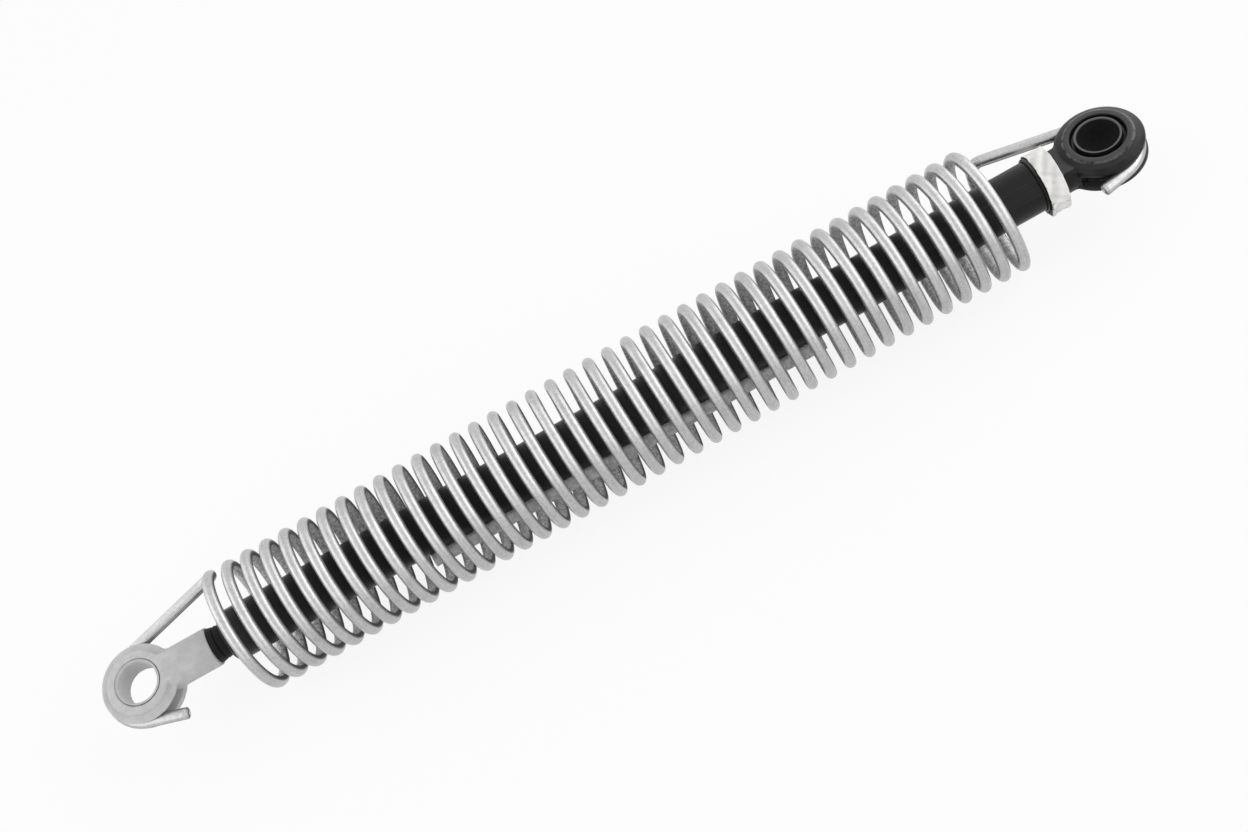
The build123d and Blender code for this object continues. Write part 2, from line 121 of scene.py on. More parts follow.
# %% Values that come out of nodes
class Value:
    """A number, colour or vector that comes out of a node, and differs over the surface."""

    def __init__(self, nodes, socket):
        self.nodes = nodes
        self.socket = socket

    def math(self, operation, first, second):
        return self.nodes.node("Math", {"operation": operation}, {0: first, 1: second})

    def __add__(self, other):
        return self.math("ADD", self, other)

    def __radd__(self, other):
        return self.math("ADD", other, self)

    def __sub__(self, other):
        return self.math("SUBTRACT", self, other)

    def __rsub__(self, other):
        return self.math("SUBTRACT", other, self)

    def __mul__(self, other):
        return self.math("MULTIPLY", self, other)

    def __rmul__(self, other):
        return self.math("MULTIPLY", other, self)

    def __abs__(self):
        return self.nodes.node("Math", {"operation": "ABSOLUTE"}, {0: self})

    def larger(self, other):
        return self.math("MAXIMUM", self, other)

    def band(self, low, high):
        """0 below low, 1 above high, and a smooth step between."""
        settings = {"interpolation_type": "SMOOTHSTEP"}
        return self.nodes.node("MapRange", settings, {"Value": self, "From Min": low, "From Max": high})


# %% Nodes of a material or a world
class Nodes:
    """The nodes of one material or of the world. Its method node() makes every one of them."""

    def __init__(self, owner):
        owner.use_nodes = True
        self.tree = owner.node_tree
        self.tree.nodes.clear()

    def node(self, kind, settings=None, inputs=None, output=0):
        """One node: its settings first, then the values or links of its sockets."""
        made = self.tree.nodes.new("ShaderNode" + kind)
        for name, value in (settings or {}).items():
            setattr(made, name, value)
        for name, value in (inputs or {}).items():
            if isinstance(value, Value):
                self.tree.links.new(value.socket, made.inputs[name])
            else:
                made.inputs[name].default_value = value
        return Value(self, made.outputs[output]) if made.outputs else None


# %% Finish of a piece
class Finish(Nodes):
    """A material of the strut. surface() ends it with its shader and gives the material."""

    def __init__(self, name):
        self.material = bpy.data.materials.new(name)
        super().__init__(self.material)

    def place_mm(self):
        """Where a point is on the object, in millimetres."""
        place = self.node("TexCoord", output="Object")
        return self.node("VectorMath", {"operation": "SCALE"}, {0: place, "Scale": 1 / mm})

    def stretched(self, place, x, y, z):
        return self.node("VectorMath", {"operation": "MULTIPLY"}, {0: place, 1: (x, y, z)})

    def stored(self, name, output="Fac"):
        """What each point of the mesh has stored under a name."""
        return self.node("Attribute", {"attribute_name": name}, output=output)

    def noise(self, place, scale, detail, roughness=0.5):
        inputs = {"Vector": place, "Scale": scale, "Detail": detail, "Roughness": roughness}
        return self.node("TexNoise", {}, inputs)

    def mix(self, share, first, second):
        """Share 0 gives the first colour and share 1 the second."""
        inputs = {0: share}
        for number, colour in ((6, first), (7, second)):
            inputs[number] = colour if isinstance(colour, Value) else (*colour, 1.0)
        return self.node("Mix", {"data_type": "RGBA"}, inputs, output=2)

    def bump(self, height, depth_mm):
        inputs = {"Height": height, "Strength": 1.0, "Distance": depth_mm * mm}
        return self.node("Bump", {}, inputs)

    def surface(self, **sockets):
        inputs = {name.replace("_", " "): value for name, value in sockets.items()}
        shader = self.node("BsdfPrincipled", {}, inputs)
        self.node("OutputMaterial", {}, {0: shader})
        return self.material


# %% Greys and the list of finishes
finishes = {}


def grey(level):
    return (level, level, level)


def keep(slot, material):
    """Put a finish on the list, under the name of its material slot in the CAD record."""
    finishes[slot] = material
    print(slot, "is", material.name, "with", len(material.node_tree.nodes), "nodes")


# %% [markdown]
# ## The finish of the spring wire
#
# Hard drawn wire is pulled through a die, which leaves fine lines along it, and then it is
# zinc plated to a soft satin grey. A dark line of painted shade runs along the flanks of the
# wire, where the coils shade each other, and it is wider on the flank towards the black eye,
# as if the light came from the grey eye's end. The crown outside is the palest, and the inner
# side is a duller grey. Each point of the wire's mesh carries its place along and round the
# wire, for the drawing lines, how far it lies towards the crown, from 1 there over 0 on the
# flanks to -1 inside, and how far it lies on the flank towards the black eye.

# %% Zinc plated wire
def make_spring_wire():
    finish = Finish("zinc_plated_wire")
    place = finish.place_mm()
    crown = finish.stored("wire_crown")
    flank = finish.stored("wire_flank")
    along_wire = finish.stretched(finish.stored("wire_place", "Vector"), 0.05, 3.0, 3.0)
    lines = finish.noise(along_wire, scale=1.4, detail=4.0)
    clouds = finish.noise(place, scale=0.16, detail=4.0, roughness=0.6)
    specks = finish.noise(place, scale=1.1, detail=3.0, roughness=0.65)
    grain = finish.noise(place, scale=3.2, detail=2.0)

    # Painted shade: a dark line where the wire is neither crown nor inside, wider towards the black eye.
    frayed = 0.25
    shade_lean_outside = 0.08
    shade_lean_inside = -0.4
    frayed_crown = crown + frayed * (lines - 0.5)
    outside = (frayed_crown - shade_lean_outside * flank).band(-0.05, 0.4)
    inside = (shade_lean_inside * flank - frayed_crown).band(0.0, 0.45)

    painted_flank_shade = grey(0.08)
    bright = finish.mix(lines.band(0.3, 0.75), grey(0.46), grey(0.59))
    bright = finish.mix(clouds.band(0.4, 0.72) * 0.3, bright, grey(0.35))
    bright = finish.mix(specks.band(0.42, 0.68) * 0.35, bright, grey(0.26))
    dull = finish.mix(specks.band(0.35, 0.62), grey(0.8), grey(0.45))
    return finish.surface(
        Base_Color=finish.mix(outside, finish.mix(inside, painted_flank_shade, dull), bright),
        Metallic=0.2 + 0.65 * (outside + inside),
        Roughness=0.55 - 0.25 * outside + 0.1 * lines,
        Specular_IOR_Level=0.15,
        Normal=finish.bump(lines * 0.6 + grain * 0.4, depth_mm=0.02),
    )


keep("spring_wire", make_spring_wire())

# %% [markdown]
# ## The moulded plastics
#
# Both eyes are moulded in glass-filled nylon. The skin of such a moulding isn't even: it has
# a fine spark-eroded grain from the mould, and cloudy patches where the glass lies near the
# surface. One function makes every plastic, from its two greys, its roughness and its gloss.
# The faces of the black eye and its bush that lie square to the bore are greyer than the eye's
# rims and neck: partly wear where they rub, partly painted light. A painted highlight ring runs
# round the edge of the black eye's boss; its size is the ring's radius about the bore in millimetres.

# %% Moulded plastic
def make_moulded(
        name, dark, light, roughness, gloss=0.5, grain_mm=0.012,
        rubbed_and_lit_grey=None, rubbed_and_lit_reach=0.7, highlight_ring_mm=None):
    finish = Finish(name)
    place = finish.place_mm()
    clouds = finish.noise(place, scale=0.35, detail=4.0, roughness=0.6)
    grain = finish.noise(place, scale=5.0, detail=3.0, roughness=0.6)
    flow = finish.noise(finish.stretched(place, 0.35, 1.0, 1.0), scale=1.1, detail=3.0)
    mottle = clouds.band(0.3, 0.7) * 0.7 + flow.band(0.35, 0.7) * 0.3
    colour = finish.mix(mottle, grey(dark), grey(light))
    # Faces square to the bore get a lighter grey: partly wear, partly painted light.
    if rubbed_and_lit_grey:
        facing = finish.node("NewGeometry", output="Normal")
        upright = finish.node("SeparateXYZ", {}, {0: facing}, output="Z")
        colour = finish.mix((upright * upright).band(rubbed_and_lit_reach, 0.97), colour, grey(rubbed_and_lit_grey))
    # Painted highlight: a lighter ring, broken up by the clouds, round the edge of the boss.
    if highlight_ring_mm:
        half_width = 0.5
        from_bore = {0: finish.stretched(place, 1, 1, 0)}
        radius = finish.node("VectorMath", {"operation": "LENGTH"}, from_bore, output="Value")
        on_ring = (half_width - abs(radius - highlight_ring_mm)).band(0.0, 0.35)
        colour = finish.mix(on_ring * clouds.band(0.35, 0.6), colour, grey(0.14))
    return finish.surface(
        Base_Color=colour,
        Roughness=roughness - 0.05 + 0.1 * clouds,
        Specular_IOR_Level=gloss,
        Normal=finish.bump(grain * 0.6 + flow * 0.4, grain_mm),
    )


keep("black_plastic", make_moulded(
    "black_nylon", 0.008, 0.018, 0.32, gloss=0.16, rubbed_and_lit_grey=0.06, highlight_ring_mm=10.1))
keep("black_bush", make_moulded(
    "black_acetal", 0.01, 0.016, 0.6, gloss=0.08, rubbed_and_lit_grey=0.13, rubbed_and_lit_reach=0.0))
keep("grey_plastic", make_moulded("grey_nylon", 0.53, 0.64, 0.6, grain_mm=0.03))
keep("grey_bush", make_moulded("grey_acetal", 0.5, 0.57, 0.5))
keep("spacer_plastic", make_moulded("natural_nylon", 0.6, 0.7, 0.5))
keep("ring_plastic", make_moulded("filled_seal_plastic", 0.1, 0.16, 0.5))

# %% [markdown]
# ## The damper's own finishes
#
# The tube is painted in satin black over drawn steel, so its gloss is broken by a faint
# orange peel and a few lengthwise rubs. The rod is ground and hard chromed. The inner pieces
# are turned steel or aluminium, whose rings from the lathe run round the strut's axis, so one
# noise that is stretched round that axis makes them. The rubber of the collar and the seals is
# nearly black, with pale dust in patches.

# %% Black paint
def make_tube_paint():
    finish = Finish("satin_black_paint")
    place = finish.place_mm()
    peel = finish.noise(place, scale=1.6, detail=2.0)
    lengthwise = finish.stretched(place, 0.02, 1.4, 1.4)
    rubs = finish.noise(lengthwise, scale=1.0, detail=4.0, roughness=0.6).band(0.56, 0.72)
    return finish.surface(
        Base_Color=finish.mix(rubs * 0.5, grey(0.005), grey(0.025)),
        Roughness=0.34 + 0.2 * rubs,
        Specular_IOR_Level=0.22,
        Normal=finish.bump(peel, depth_mm=0.02),
    )


keep("tube_paint", make_tube_paint())

# %% Turned and ground metal
def make_turned_metal(name, level, roughness, rings_per_mm=2.2):
    finish = Finish(name)
    round_axis = finish.stretched(finish.place_mm(), 1.0, 0.04, 0.04)
    rings = finish.noise(round_axis, scale=rings_per_mm, detail=3.0)
    return finish.surface(
        Base_Color=finish.mix(rings, grey(level * 0.85), grey(level)),
        Metallic=1.0,
        Roughness=roughness + 0.12 * rings,
        Normal=finish.bump(rings, depth_mm=0.006),
    )


keep("inner_steel", make_turned_metal("turned_steel", 0.55, 0.3))
keep("guide_aluminium", make_turned_metal("turned_aluminium", 0.75, 0.32))
keep("rod_chrome", make_turned_metal("ground_chrome", 0.72, 0.1, rings_per_mm=4.0))

# %% Rubber
def make_rubber(name, level):
    finish = Finish(name)
    place = finish.place_mm()
    dust = finish.noise(place, scale=0.8, detail=4.0, roughness=0.65)
    grain = finish.noise(place, scale=6.0, detail=2.0)
    dusty_level = level * 2.4
    return finish.surface(
        Base_Color=finish.mix(dust.band(0.45, 0.8), grey(level), grey(dusty_level)),
        Roughness=0.5 + 0.2 * dust,
        Specular_IOR_Level=0.2,
        Normal=finish.bump(grain, depth_mm=0.015),
    )


keep("seal_rubber", make_rubber("nitrile_rubber", 0.012))
keep("collar_rubber", make_rubber("collar_rubber", 0.006))

# %% [markdown]
# ## Tape and flock
#
# The white band is cloth-backed tape, a little warm in tone, with a fine weave that shows in
# its gloss, and painted shade darkens the valleys of its creases. The long strip is flocked
# foam, which keeps the coils from rattling on the tube: short fibres that lie in clumps, so it
# is mottled and quite matt.

# %% White tape
def make_white_tape():
    finish = Finish("white_cloth_tape")
    place = finish.place_mm()
    stain = finish.noise(place, scale=0.32, detail=4.0, roughness=0.6)
    threads = finish.noise(finish.stretched(place, 0.25, 2.0, 2.0), scale=2.0, detail=1.0)
    clean = (0.87, 0.86, 0.84)
    stained = (0.81, 0.8, 0.78)
    fold_shade_colour = (0.48, 0.47, 0.43)
    colour = finish.mix(stain.band(0.5, 0.8), clean, stained)
    # Painted shade: the fold valleys stored on the mesh darken the tape towards a beige grey.
    return finish.surface(
        Base_Color=finish.mix(finish.stored("fold_shade") * 0.4, colour, fold_shade_colour),
        Roughness=0.55 + 0.2 * threads,
        Normal=finish.bump(threads, depth_mm=0.02),
    )


keep("white_tape", make_white_tape())

# %% Grey flock
def make_flock():
    finish = Finish("grey_flock")
    place = finish.place_mm()
    clumps = finish.noise(place, scale=0.55, detail=4.0, roughness=0.65)
    fibres = finish.noise(place, scale=3.5, detail=4.0, roughness=0.8)
    tone = clumps.band(0.36, 0.64) * 0.6 + fibres.band(0.35, 0.65) * 0.4
    return finish.surface(
        Base_Color=finish.mix(tone, grey(0.5), grey(0.95)),
        Roughness=0.95,
        Sheen_Weight=0.5,
        Sheen_Roughness=0.5,
        Normal=finish.bump(fibres, depth_mm=0.12),
    )


keep("grey_strip", make_flock())

# %% [markdown]
# ## Finishes on the CAD nodes
#
# The CAD record says which material slot each node takes. Every node gets its finish from the
# list, also those that a new piece will stand for, so none is left in plain grey.

# %% Give each CAD node its finish
slot_of = {part["node"]: part["material_slot"] for part in frame["record"]["subparts"]}
for name, node in frame["nodes"].items():
    node.data.materials.clear()
    node.data.materials.append(finishes[slot_of[name]])
print("finishes:", len(finishes), "on", len(frame["nodes"]), "nodes")

# %% [markdown]
# ## Meshes from rows of points
#
# The wire, the tape and the strip are all long skins: a closed or open outline that is
# repeated along a path. One helper joins such rows of points with quads and another closes
# their ends. A third stores a value with each point, for a finish to read, and the last puts a
# mesh into the scene as a piece that stands for its CAD node.

# %% Skin helpers
def skin(rows, columns, closed):
    """Quads that join rows of points, each row next to the one before it."""
    faces = []
    for row in range(rows - 1):
        for column in range(columns if closed else columns - 1):
            near = row * columns + column
            beside = row * columns + (column + 1) % columns
            faces.append((near, beside, beside + columns, near + columns))
    return faces


def end_caps(rows, columns):
    """The two faces that close a skin of closed rows."""
    last_row = (rows - 1) * columns
    return [tuple(range(columns)), tuple(range(last_row + columns - 1, last_row - 1, -1))]


def new_mesh(name, points, faces):
    mesh = bpy.data.meshes.new(name)
    mesh.from_pydata([tuple(point) for point in points], [], faces)
    return mesh


# %% Piece helpers
def store(piece, name, values):
    """Keep one number for each point of a piece."""
    piece.data.attributes.new(name, "FLOAT", "POINT")
    piece.data.attributes[name].data.foreach_set("value", values)


def make_piece(mesh, node):
    """Put a mesh into the scene, smooth and with its finish, as a piece for a CAD node."""
    slot = slot_of[node]
    mesh.polygons.foreach_set("use_smooth", [True] * len(mesh.polygons))
    mesh.materials.clear()
    mesh.materials.append(finishes[slot])
    piece = bpy.data.objects.new(mesh.name, mesh)
    bpy.context.scene.collection.objects.link(piece)
    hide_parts(node)
    print(piece.name, "has", len(mesh.vertices), "points and", len(mesh.polygons), "faces")
    return piece


# %% [markdown]
# ## The spring's route
#
# The spring is one wire. From its cut end it runs round the grey eye, leaves the groove as a
# straight lead, turns into the first coil, winds forty times, and ends the same way round
# the black eye. A Screw modifier could make the coils but not the hooks, so the whole centre
# line is worked out here: arcs round the eyes, the leads that touch them, and a helix.

# %% Sizes of the spring
wire_radius = 1.75 * mm
spring_low, spring_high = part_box("extension_spring")
coil_radius = (spring_high.y - spring_low.y) / 2 - wire_radius
coil_turns = 40
coil_start_reach = 32.2 * mm
coil_end_reach = 33.0 * mm
rod_eye_low, rod_eye_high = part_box("rod_eye_bush")
rod_eye_x = (rod_eye_low.x + rod_eye_high.x) / 2
eye_twist = math.radians(17.0)
hook_radius = 10.6 * mm
bend_radius = 3.6 * mm
coil_start = rod_eye_x + coil_start_reach
coil_end = -coil_end_reach
last_coil_angle = 2 * math.pi * coil_turns
print("eyes", round(-rod_eye_x / mm, 1), "mm apart")
print("coils", round(2 * coil_radius / mm, 1), "mm across, measured on the wire's centre line")


# %% Helix
small_turn = 0.001


def outward(angle):
    return Vector((0, math.cos(angle), math.sin(angle)))


def coil_point(angle):
    share = (angle - eye_twist) / (last_coil_angle - eye_twist)
    return Vector((coil_start + (coil_end - coil_start) * share, 0, 0)) + outward(angle) * coil_radius


def coil_way(angle):
    return (coil_point(angle + small_turn) - coil_point(angle - small_turn)).normalized()


print("pitch:", round((coil_end - coil_start) / coil_turns / mm, 2), "mm")


# %% Arcs
def arc(centre, first, second, sweep, steps):
    """Points of an arc about centre. first and second point to its start and a quarter on."""
    start, end = sweep
    turns = [start + (end - start) * k / steps for k in range(steps + 1)]
    return [centre + first * math.cos(t) + second * math.sin(t) for t in turns]


def corner_curve(before, corner, after, radius, steps):
    """A round corner that touches the way in and the way out."""
    way_in = (corner - before).normalized()
    way_out = (after - corner).normalized()
    turn_angle = way_in.angle(way_out)
    setback = radius * math.tan(turn_angle / 2)
    inward = (way_out - way_in * way_in.dot(way_out)).normalized()
    centre = corner - way_in * setback + inward * radius
    return arc(centre, -inward * radius, way_in * radius, (0, turn_angle), steps)


# %% Hook and lead
settling_rounds = 12
end_steps = 8
tail_steps = 24
eye_steps = 48
lead_steps = 24
bend_steps = 12


def hook(eye_x, plane_angle, corner_angle, opening, tail_length, tail_angle, side):
    """Points from the wire's cut end to its first coil, and the angle where the coil starts.

    The lead touches the hook at one end and turns into the coil at the other, and each moves
    the other, so the two places are worked out in rounds until they have settled."""
    along = Vector((side, 0, 0))
    out = outward(plane_angle)
    eye = Vector((eye_x, 0, 0))
    corner = coil_point(corner_angle)
    start_angle = corner_angle
    for _ in range(settling_rounds):
        way = coil_way(start_angle) * side
        rise = (corner - eye).dot(out)
        run = (corner - eye).dot(along)
        touch = math.atan2(rise, run) + math.acos(hook_radius / math.hypot(run, rise))
        leave = eye + (along * math.cos(touch) + out * math.sin(touch)) * hook_radius
        setback = bend_radius * math.tan((corner - leave).angle(way) / 2)
        corner = coil_point(start_angle) - way * setback
        start_angle = corner_angle + side * math.atan(setback / coil_radius)

    tail_radius = hook_radius + opening
    tail_centre = eye + along * opening
    tail_sweep = (math.pi / 2 - tail_angle, 0)
    tail = arc(tail_centre, -along * tail_radius, -out * tail_radius, tail_sweep, tail_steps)
    tail_way = along * math.cos(tail_angle) - out * math.sin(tail_angle)
    end = [tail[0] + tail_way * tail_length * (1 - k / end_steps) for k in range(end_steps)]
    round_eye = arc(eye, along * hook_radius, out * hook_radius, (math.pi, touch), eye_steps)
    bend = corner_curve(leave, corner, coil_point(start_angle), bend_radius, bend_steps)
    lead = [leave.lerp(bend[0], k / lead_steps) for k in range(1, lead_steps)]
    return end + tail + round_eye[1:] + lead + bend, start_angle


rod_hook, first_angle = hook(
    eye_x=rod_eye_x, plane_angle=eye_twist, corner_angle=math.radians(30.0),
    opening=0.65 * mm, tail_length=12.5 * mm, tail_angle=math.radians(17.0), side=1)
tube_hook, last_angle = hook(
    eye_x=0.0, plane_angle=0.0, corner_angle=last_coil_angle + math.radians(3.0),
    opening=2.3 * mm, tail_length=7.9 * mm, tail_angle=math.radians(12.8), side=-1)
print("hooks:", len(rod_hook), "places round the grey eye,", len(tube_hook), "round the black one")

# %% Whole route
steps_per_turn = 60
coil_sweep = last_angle - first_angle
coil_steps = round(coil_sweep / (2 * math.pi) * steps_per_turn)
coils = [coil_point(first_angle + coil_sweep * k / coil_steps) for k in range(1, coil_steps)]
route = rod_hook + coils + tube_hook[::-1]
wire_length = sum((b - a).length for a, b in zip(route, route[1:]))
print("wire:", len(route), "places,", round(wire_length, 4), "m long")

# %% [markdown]
# ## The wire's skin
#
# A round tube round the route needs a pair of axes at every place that doesn't twist. They
# are carried along: the last pair is turned just enough to stay square to the new direction.
# The ends were cut in a press, so they are flat with a slightly rolled edge.

# %% Axes along the wire
middle = np.array([tuple(point) for point in route])
ways = np.gradient(middle, axis=0)
ways /= np.linalg.norm(ways, axis=1)[:, None]
axes = []
across = np.cross(ways[0], (0.0, 0.0, 1.0))
for way in ways:
    across = across - way * np.dot(across, way)
    across /= np.linalg.norm(across)
    axes.append((across, np.cross(way, across)))
print("pairs of axes:", len(axes))

# %% Build the wire
wire_sides = 24
cut_edge = 0.25 * mm
side_cos = np.cos(np.arange(wire_sides) * 2 * math.pi / wire_sides)
side_sin = np.sin(np.arange(wire_sides) * 2 * math.pi / wire_sides)
last = len(route) - 1


def wire_row(k, radius, ahead=0.0):
    """The ring of points round place k of the route."""
    first, second = axes[k]
    ring = np.outer(side_cos, first) + np.outer(side_sin, second)
    return middle[k] + ways[k] * ahead + ring * radius


wire_rows = [wire_row(0, wire_radius - cut_edge), wire_row(0, wire_radius, cut_edge)]
wire_rows += [wire_row(k, wire_radius) for k in range(1, last)]
wire_rows += [wire_row(last, wire_radius, -cut_edge), wire_row(last, wire_radius - cut_edge)]
row_places = [0, 0, *range(1, last), last, last]
wire_faces = skin(len(wire_rows), wire_sides, closed=True) + end_caps(len(wire_rows), wire_sides)
wire_mesh = new_mesh("coiled_spring", np.concatenate(wire_rows), wire_faces)
spring = make_piece(wire_mesh, "extension_spring")

# %% [markdown]
# ## What the wire's finish reads
#
# The plating and the painted shade differ round the wire and the drawing lines run along it,
# and none follows the strut's own axes on a coil. So each point stores how far it lies towards
# the crown and towards one flank, and its place along and round the wire. The crown faces away
# from the strut's axis on the coils, and upwards and a little to the front on the hooks and
# leads, so that their undersides take the painted shade.

# %% Crown and flank
# Painted shade: the hooks' crown points up and to the front, so their undersides are dark.
hook_lit_way = (0.0, -0.45, 0.9)
crown_ways = np.array([(0.0, y, z) for _, y, z in middle]) / coil_radius
crown_ways[:len(rod_hook)] = hook_lit_way
crown_ways[-len(tube_hook):] = hook_lit_way
crown_rows = []
flank_rows = []
for k in row_places:
    first, second = axes[k]
    crown_way = crown_ways[k] - ways[k] * np.dot(crown_ways[k], ways[k])
    crown_way /= np.linalg.norm(crown_way)
    crown_rows.append(side_cos * np.dot(first, crown_way) + side_sin * np.dot(second, crown_way))
    flank_rows.append(side_cos * first[0] + side_sin * second[0])
store(spring, "wire_crown", np.concatenate(crown_rows).astype(np.float32))
store(spring, "wire_flank", np.concatenate(flank_rows).astype(np.float32))
print("crown and flank stored for", len(row_places), "rings")

# %% Place along and round the wire
step_lengths = np.linalg.norm(np.diff(middle, axis=0), axis=1)
travelled = np.concatenate([[0.0], np.cumsum(step_lengths)])
on_wire = np.zeros((len(row_places) * wire_sides, 3), np.float32)
on_wire[:, 0] = np.repeat(travelled[row_places], wire_sides) / mm
on_wire[:, 1] = np.tile(side_cos, len(row_places)) * wire_radius / mm
on_wire[:, 2] = np.tile(side_sin, len(row_places)) * wire_radius / mm
spring.data.attributes.new("wire_place", "FLOAT_VECTOR", "POINT")
spring.data.attributes["wire_place"].data.foreach_set("vector", on_wire.ravel())
print("places run to", round(float(on_wire[-1, 0])), "mm along the wire")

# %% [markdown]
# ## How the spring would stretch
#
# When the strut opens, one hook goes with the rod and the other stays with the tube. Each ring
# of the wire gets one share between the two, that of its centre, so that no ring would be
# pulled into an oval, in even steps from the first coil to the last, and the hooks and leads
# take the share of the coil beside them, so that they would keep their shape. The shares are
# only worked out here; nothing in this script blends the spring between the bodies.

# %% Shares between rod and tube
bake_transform(spring)
shares = np.clip((middle[:, 0] - coil_start) / (coil_end - coil_start), 0, 1)
shares[:len(rod_hook)] = shares[len(rod_hook)]
shares[-len(tube_hook):] = shares[-len(tube_hook) - 1]
shares = (shares - shares[0]) / (shares[-1] - shares[0])

# %% [markdown]
# ## Moulded eyes
#
# A mould is cut with round tools, and the plastic shrinks as it cools, so no edge of a real
# moulding is sharp. The CAD eyes have the right shape with crisp edges. A fine voxel remesh
# of a copy, smoothed a few times, rounds every edge by a few tenths of a millimetre and
# leaves the flat and round faces where they were.

# %% Soften the two mouldings
smoothing = 0.5
smoothing_passes = 5


def soften(name, node, body, voxel):
    rough = bpy.data.objects.new(name + "_rough", frame["nodes"][node].data.copy())
    bpy.context.scene.collection.objects.link(rough)
    remesh = rough.modifiers.new("remesh", "REMESH")
    remesh.mode = "VOXEL"
    remesh.voxel_size = voxel
    smooth = rough.modifiers.new("smooth", "SMOOTH")
    smooth.factor = smoothing
    smooth.iterations = smoothing_passes
    bpy.context.view_layer.update()
    evaluated = rough.evaluated_get(bpy.context.evaluated_depsgraph_get())
    mesh = bpy.data.meshes.new_from_object(evaluated)
    bpy.data.objects.remove(rough)
    mesh.name = name
    piece = make_piece(mesh, node)
    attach(piece, body)


soften("grey_eye_moulding", "rod_eye", "rod", voxel=0.24 * mm)
soften("black_eye_moulding", "tube_eye", "tube", voxel=0.26 * mm)

# %% [markdown]
# ## The wrapped tape
#
# The band is a strip of tape wound more than once round the eye's collar. It bridges from
# the collar to nothing over the tube, so its edge there stands proud and is uneven. It was
# pressed on by hand: it has slanting creases, a soft wave along both edges and a free end.
# A spiral sheet with small waves and ridges, made solid, gives all of that.

# %% Folds of the tape
fold_depth_mm = 0.9
pleat_depth_mm = 0.5
weave_depth_mm = 0.02


def tape_fold(angle, across):
    """Soft folds in the cloth, in millimetres, and how far painted shade darkens their valleys."""
    fold = noise.noise(Vector((angle * 2.1 + across * 0.8, across * 0.5, 4.0)))
    pleat = noise.noise(Vector((angle * 5.0 - across * 0.9, across * 0.4, 9.0)))
    weave = noise.noise(Vector((angle * 30.0, across * 9.0, 2.0)))
    height = fold_depth_mm * fold + pleat_depth_mm * pleat + weave_depth_mm * weave
    # Painted shade: the valleys of the folds get a darkening share.
    fold_shade = min(1.0, max(0.0, -2.6 * fold - 1.3 * pleat - 0.1))
    return height, fold_shade


# %% Sizes of the tape
tape_low, tape_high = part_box("tape_band")
tape_width = tape_high.x - tape_low.x
collar_radius = 8.5 * mm
tape_sheet = 0.2 * mm
tape_inner = collar_radius + tape_sheet / 2
tape_turns = 1.3
tape_end_angle = math.radians(186.0)
tape_loose_angle = math.radians(221.0)
tape_loose = 0.7 * mm
tight_fold_share = 0.35
curled_edge = 0.1
step_over_end = 0.3 * mm
step_softness = 0.3
end_slant = 0.22
end_slant_fade = 6
edge_margin = 0.25 * mm
edge_wave = 0.22 * mm
edge_wave_start = 0.6
edge_ragged = 0.16 * mm
tape_steps = 300
tape_columns = 36
print("tape:", tape_turns, "turns,", round(tape_width / mm, 1), "mm wide")


# %% Wrap the tape
def tape_point(wound, across):
    """A point of the sheet after so many turns, and its painted fold shade. across runs from edge to
    edge.
    """
    slant = end_slant * (across - 0.5) * max(0.0, 1.0 - wound * end_slant_fade)
    angle = tape_end_angle + wound * 2 * math.pi + slant
    looseness = (1 + math.cos(angle - tape_loose_angle)) / 2
    near_edge = 2 * abs(across - 0.5)
    still_over_end = 1.0 - min(wound / (tape_turns - 1.0), 1.0)
    fold, fold_shade = tape_fold(angle, across * 2.0)

    radius = tape_inner + tape_sheet + tape_loose * looseness
    fold_share = tight_fold_share + (1 - tight_fold_share) * looseness
    radius += (fold + curled_edge * near_edge ** 4) * mm * fold_share
    radius += still_over_end ** step_softness * step_over_end
    radius = max(radius, tape_inner)

    wave = edge_wave * math.sin(angle + edge_wave_start)
    ragged = edge_ragged * noise.noise(Vector((angle * 5.0, across * 3, 1.0))) * near_edge
    x = tape_low.x + edge_margin + (tape_width - 2 * edge_margin) * across + wave + ragged
    return (x, radius * math.cos(angle), radius * math.sin(angle)), fold_shade


tape_points = []
tape_fold_shade = []
for step in range(tape_steps + 1):
    for column in range(tape_columns + 1):
        point, fold_shade = tape_point(step / tape_steps * tape_turns, column / tape_columns)
        tape_points.append(point)
        tape_fold_shade.append(fold_shade)
tape_mesh = new_mesh("wrapped_tape", tape_points, skin(tape_steps + 1, tape_columns + 1, closed=False))
tape = make_piece(tape_mesh, "tape_band")
store(tape, "fold_shade", tape_fold_shade)
thickness = tape.modifiers.new("thickness", "SOLIDIFY")
thickness.thickness = tape_sheet
thickness.offset = 0.0
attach(tape, "tube")

# %% [markdown]
# ## The flocked strip
#
# The strip is cut from a roll of flocked foam and stuck along the tube. Its outline is a low
# loaf that sits on the round tube, and its skin is lumpy where the fibres have matted. It is
# a loft of that outline, pushed in by noise, with its two sides left a little wavy.

# %% Sizes of the strip
strip_low, strip_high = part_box("anti_rattle_strip")
strip_length = strip_high.x - strip_low.x
tube_radius = 7.8 * mm
strip_thickness = 3.9 * mm
strip_half_width = 4.1 * mm
strip_half_angle = math.asin(strip_half_width / (tube_radius + strip_thickness))
strip_angle = math.radians(232.0)
loaf_squareness = 5
skirt_spread = 1.06
side_trim = 0.25 * mm
side_wave = 0.3 * mm
lump_depth = 0.32 * mm
small_lump_depth = 0.14 * mm
thinnest = 0.02 * mm
glue_gap = 0.01 * mm
strip_steps = 420
strip_outline_steps = 22
print("strip:", round(strip_length / mm, 1), "mm long")


